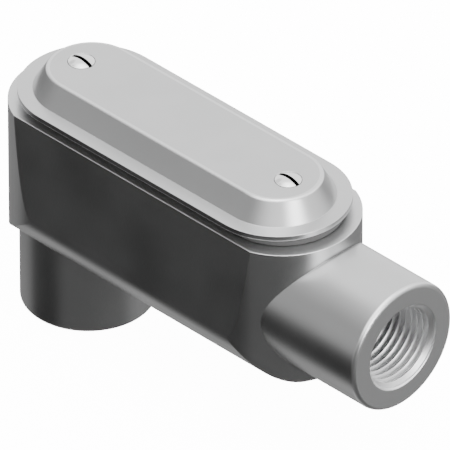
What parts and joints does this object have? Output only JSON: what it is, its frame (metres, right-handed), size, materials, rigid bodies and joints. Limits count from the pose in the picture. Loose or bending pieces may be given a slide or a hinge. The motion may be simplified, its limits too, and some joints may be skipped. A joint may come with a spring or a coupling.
{
  "type": "conduit body",
  "caption": "Back-outlet conduit body: hollow cast housing with a gasketed screwed-on cover and threaded hubs on its end and back.",
  "frame": {"origin": "centre of the back hub's mouth", "axes": "+Z along the back hub's axis, into the housing and up to the cover; +X along the housing, out of the end hub's mouth; the casting is symmetric about the XZ plane"},
  "size_m": [0.1194, 0.0364, 0.0649],
  "materials": {
    "cast_aluminium": "satin cast, epoxy-clear",
    "cover_aluminium": "satin",
    "gasket_rubber": "matt",
    "screw_steel": "bright plated",
    "nut_steel": "zinc plated"
  },
  "bodies": {
    "housing": {"body_casting": "cast_aluminium", "cover": "cover_aluminium", "cover_gasket": "gasket_rubber"},
    "screw_left": {"cover_screw_left": "screw_steel"},
    "screw_right": {"cover_screw_right": "screw_steel"},
    "nut_left": {"clamp_nut_left": "nut_steel"},
    "nut_right": {"clamp_nut_right": "nut_steel"}
  },
  "joints": [
    {"name": "nut_left_drop", "type": "slide", "parent": "housing", "child": "nut_left", "axis": [0, 0, -1], "range_m": [0, 0.00337]},
    {"name": "screw_left_turn", "type": "hinge", "parent": "housing", "child": "screw_left", "pos_m": [-0.00185, 0, 0.0641], "axis": [0, 0, 1], "range_deg": [0, 1530]},
    {"name": "nut_right_drop", "type": "slide", "parent": "housing", "child": "nut_right", "axis": [0, 0, -1], "range_m": [0, 0.00337]},
    {"name": "screw_right_turn", "type": "hinge", "parent": "housing", "child": "screw_right", "pos_m": [0.06465, 0, 0.0641], "axis": [0, 0, 1], "range_deg": [0, 1530]}
  ],
  "couplings": [
    {"joint": "screw_left_turn", "follows": "nut_left_drop", "rad_per_m": 7915.8},
    {"joint": "screw_right_turn", "follows": "nut_right_drop", "rad_per_m": 7915.8}
  ]
}
